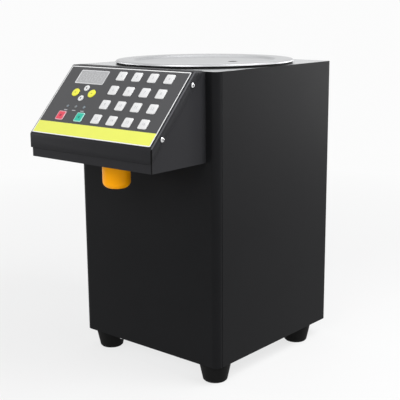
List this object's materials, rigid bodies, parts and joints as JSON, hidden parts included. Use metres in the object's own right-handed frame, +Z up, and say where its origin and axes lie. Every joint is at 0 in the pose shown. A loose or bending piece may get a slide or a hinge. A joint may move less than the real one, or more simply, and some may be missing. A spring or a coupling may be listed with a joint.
{
  "type": "fructose dispenser",
  "caption": "Countertop syrup dispenser: black steel cabinet, round stainless tank and lid, slanted push-button panel over an orange pouring hood, gear pump, rubber feet.",
  "frame": {"origin": "on the resting plane, under the middle of the outer box", "axes": "+Z up, the key panel and hood face -Y, +X to the right seen from the front"},
  "size_m": [0.24, 0.347, 0.4004],
  "materials": {
    "black_paint": "satin powder coat",
    "zinc_steel": "zinc-plated sheet",
    "stainless": "brushed",
    "bright_steel": "nickel-plated",
    "foot_rubber": "matt",
    "gasket_rubber": "matt black rubber",
    "heater_silicone": "matt silicone",
    "hose_silicone": "milky, smooth",
    "black_plastic": "fine texture",
    "pump_casting": "cast and machined",
    "gear_steel": "machined",
    "motor_paint": "satin",
    "panel_film": "printed polyester film",
    "display_plastic": "smooth window",
    "board_laminate": "solder resist",
    "hood_plastic": "satin moulded",
    "rocker_plastic": "moulded",
    "key_white": "moulded",
    "key_yellow": "moulded",
    "key_red": "moulded",
    "key_green": "moulded"
  },
  "bodies": {
    "cabinet": {"front_shell": "black_paint", "body_wrap": "black_paint", "base_plate": "zinc_steel", "top_plate": "stainless", "base_screws": "bright_steel", "feet": "foot_rubber", "foot_screws": "bright_steel", "tank": "stainless", "tank_gasket": "gasket_rubber", "heater_pad": "heater_silicone", "thermostat": "black_plastic", "inlet_hose": "hose_silicone", "outlet_hose": "hose_silicone", "hose_clamps": "bright_steel", "pump_housing": "pump_casting", "pump_cover": "pump_casting", "pump_screws": "bright_steel", "motor_body": "motor_paint", "motor_bracket": "zinc_steel", "control_box": "black_paint", "panel_cover": "black_paint", "cover_screws": "bright_steel", "key_panel": "panel_film", "display_window": "display_plastic", "control_board": "board_laminate", "trigger_pin": "bright_steel", "outlet_tube": "bright_steel", "microswitch": "black_plastic", "power_supply": "zinc_steel", "power_inlet": "black_plastic"},
    "lid": {"lid": "stainless"},
    "hood": {"trigger_hood": "hood_plastic", "trigger_spring": "bright_steel"},
    "lever": {"switch_lever": "bright_steel"},
    "rocker": {"power_rocker": "rocker_plastic"},
    "pump_drive": {"drive_gear": "gear_steel", "motor_shaft": "bright_steel"},
    "pump_idler": {"idler_gear": "gear_steel"},
    "setting_key_left": {"setting_key_left": "key_yellow"},
    "setting_key_right": {"setting_key_right": "key_yellow"},
    "arrow_key_up": {"arrow_key_up": "key_white"},
    "arrow_key_down": {"arrow_key_down": "key_white"},
    "stop_key": {"stop_key": "key_red"},
    "start_key": {"start_key": "key_green"},
    "dose_key_01": {"dose_key_01": "key_white"},
    "dose_key_02": {"dose_key_02": "key_white"},
    "dose_key_03": {"dose_key_03": "key_white"},
    "dose_key_04": {"dose_key_04": "key_white"},
    "dose_key_05": {"dose_key_05": "key_white"},
    "dose_key_06": {"dose_key_06": "key_white"},
    "dose_key_07": {"dose_key_07": "key_white"},
    "dose_key_08": {"dose_key_08": "key_white"},
    "dose_key_09": {"dose_key_09": "key_white"},
    "dose_key_10": {"dose_key_10": "key_white"},
    "dose_key_11": {"dose_key_11": "key_white"},
    "dose_key_12": {"dose_key_12": "key_white"},
    "dose_key_13": {"dose_key_13": "key_white"},
    "dose_key_14": {"dose_key_14": "key_white"},
    "dose_key_15": {"dose_key_15": "key_white"},
    "dose_key_16": {"dose_key_16": "key_white"}
  },
  "joints": [
    {"name": "lid_lift", "type": "slide", "parent": "cabinet", "child": "lid", "axis": [0, 0, 1], "range_m": [0, 0.1]},
    {"name": "hood_swing", "type": "hinge", "parent": "cabinet", "child": "hood", "pos_m": [0, -0.11, 0.3004], "axis": [1, 0, 0], "range_deg": [0, 5], "stiffness_Nm_per_rad": 0.15, "springref_deg": -22.92},
    {"name": "lever_swing", "type": "hinge", "parent": "cabinet", "child": "lever", "pos_m": [0, -0.1194, 0.309], "axis": [1, 0, 0], "range_deg": [0, 8]},
    {"name": "rocker_tilt", "type": "hinge", "parent": "cabinet", "child": "rocker", "pos_m": [-0.075, 0.1665, 0.0847], "axis": [0, 0, 1], "range_deg": [0, 20]},
    {"name": "pump_spin", "type": "hinge", "parent": "cabinet", "child": "pump_drive", "pos_m": [0, 0.0035, 0.0622], "axis": [1, 0, 0], "continuous": true},
    {"name": "idler_spin", "type": "hinge", "parent": "cabinet", "child": "pump_idler", "pos_m": [0, 0.0035, 0.0864], "axis": [1, 0, 0], "continuous": true},
    {"name": "setting_key_left_press", "type": "slide", "parent": "cabinet", "child": "setting_key_left", "axis": [0, 0.7318, -0.6816], "range_m": [0, 0.0007], "stiffness_N_per_m": 800, "springref_m": -0.0006},
    {"name": "setting_key_right_press", "type": "slide", "parent": "cabinet", "child": "setting_key_right", "axis": [0, 0.7318, -0.6816], "range_m": [0, 0.0007], "stiffness_N_per_m": 800, "springref_m": -0.0006},
    {"name": "arrow_key_up_press", "type": "slide", "parent": "cabinet", "child": "arrow_key_up", "axis": [0, 0.7318, -0.6816], "range_m": [0, 0.0007], "stiffness_N_per_m": 800, "springref_m": -0.0006},
    {"name": "arrow_key_down_press", "type": "slide", "parent": "cabinet", "child": "arrow_key_down", "axis": [0, 0.7318, -0.6816], "range_m": [0, 0.0007], "stiffness_N_per_m": 800, "springref_m": -0.0006},
    {"name": "stop_key_press", "type": "slide", "parent": "cabinet", "child": "stop_key", "axis": [0, 0.7318, -0.6816], "range_m": [0, 0.0007], "stiffness_N_per_m": 800, "springref_m": -0.0006},
    {"name": "start_key_press", "type": "slide", "parent": "cabinet", "child": "start_key", "axis": [0, 0.7318, -0.6816], "range_m": [0, 0.0007], "stiffness_N_per_m": 800, "springref_m": -0.0006},
    {"name": "dose_key_01_press", "type": "slide", "parent": "cabinet", "child": "dose_key_01", "axis": [0, 0.7318, -0.6816], "range_m": [0, 0.0007], "stiffness_N_per_m": 800, "springref_m": -0.0006},
    {"name": "dose_key_02_press", "type": "slide", "parent": "cabinet", "child": "dose_key_02", "axis": [0, 0.7318, -0.6816], "range_m": [0, 0.0007], "stiffness_N_per_m": 800, "springref_m": -0.0006},
    {"name": "dose_key_03_press", "type": "slide", "parent": "cabinet", "child": "dose_key_03", "axis": [0, 0.7318, -0.6816], "range_m": [0, 0.0007], "stiffness_N_per_m": 800, "springref_m": -0.0006},
    {"name": "dose_key_04_press", "type": "slide", "parent": "cabinet", "child": "dose_key_04", "axis": [0, 0.7318, -0.6816], "range_m": [0, 0.0007], "stiffness_N_per_m": 800, "springref_m": -0.0006},
    {"name": "dose_key_05_press", "type": "slide", "parent": "cabinet", "child": "dose_key_05", "axis": [0, 0.7318, -0.6816], "range_m": [0, 0.0007], "stiffness_N_per_m": 800, "springref_m": -0.0006},
    {"name": "dose_key_06_press", "type": "slide", "parent": "cabinet", "child": "dose_key_06", "axis": [0, 0.7318, -0.6816], "range_m": [0, 0.0007], "stiffness_N_per_m": 800, "springref_m": -0.0006},
    {"name": "dose_key_07_press", "type": "slide", "parent": "cabinet", "child": "dose_key_07", "axis": [0, 0.7318, -0.6816], "range_m": [0, 0.0007], "stiffness_N_per_m": 800, "springref_m": -0.0006},
    {"name": "dose_key_08_press", "type": "slide", "parent": "cabinet", "child": "dose_key_08", "axis": [0, 0.7318, -0.6816], "range_m": [0, 0.0007], "stiffness_N_per_m": 800, "springref_m": -0.0006},
    {"name": "dose_key_09_press", "type": "slide", "parent": "cabinet", "child": "dose_key_09", "axis": [0, 0.7318, -0.6816], "range_m": [0, 0.0007], "stiffness_N_per_m": 800, "springref_m": -0.0006},
    {"name": "dose_key_10_press", "type": "slide", "parent": "cabinet", "child": "dose_key_10", "axis": [0, 0.7318, -0.6816], "range_m": [0, 0.0007], "stiffness_N_per_m": 800, "springref_m": -0.0006},
    {"name": "dose_key_11_press", "type": "slide", "parent": "cabinet", "child": "dose_key_11", "axis": [0, 0.7318, -0.6816], "range_m": [0, 0.0007], "stiffness_N_per_m": 800, "springref_m": -0.0006},
    {"name": "dose_key_12_press", "type": "slide", "parent": "cabinet", "child": "dose_key_12", "axis": [0, 0.7318, -0.6816], "range_m": [0, 0.0007], "stiffness_N_per_m": 800, "springref_m": -0.0006},
    {"name": "dose_key_13_press", "type": "slide", "parent": "cabinet", "child": "dose_key_13", "axis": [0, 0.7318, -0.6816], "range_m": [0, 0.0007], "stiffness_N_per_m": 800, "springref_m": -0.0006},
    {"name": "dose_key_14_press", "type": "slide", "parent": "cabinet", "child": "dose_key_14", "axis": [0, 0.7318, -0.6816], "range_m": [0, 0.0007], "stiffness_N_per_m": 800, "springref_m": -0.0006},
    {"name": "dose_key_15_press", "type": "slide", "parent": "cabinet", "child": "dose_key_15", "axis": [0, 0.7318, -0.6816], "range_m": [0, 0.0007], "stiffness_N_per_m": 800, "springref_m": -0.0006},
    {"name": "dose_key_16_press", "type": "slide", "parent": "cabinet", "child": "dose_key_16", "axis": [0, 0.7318, -0.6816], "range_m": [0, 0.0007], "stiffness_N_per_m": 800, "springref_m": -0.0006}
  ],
  "couplings": [
    {"joint": "lever_swing", "follows": "hood_swing", "ratio": 1.574},
    {"joint": "idler_spin", "follows": "pump_spin", "ratio": -1}
  ]
}
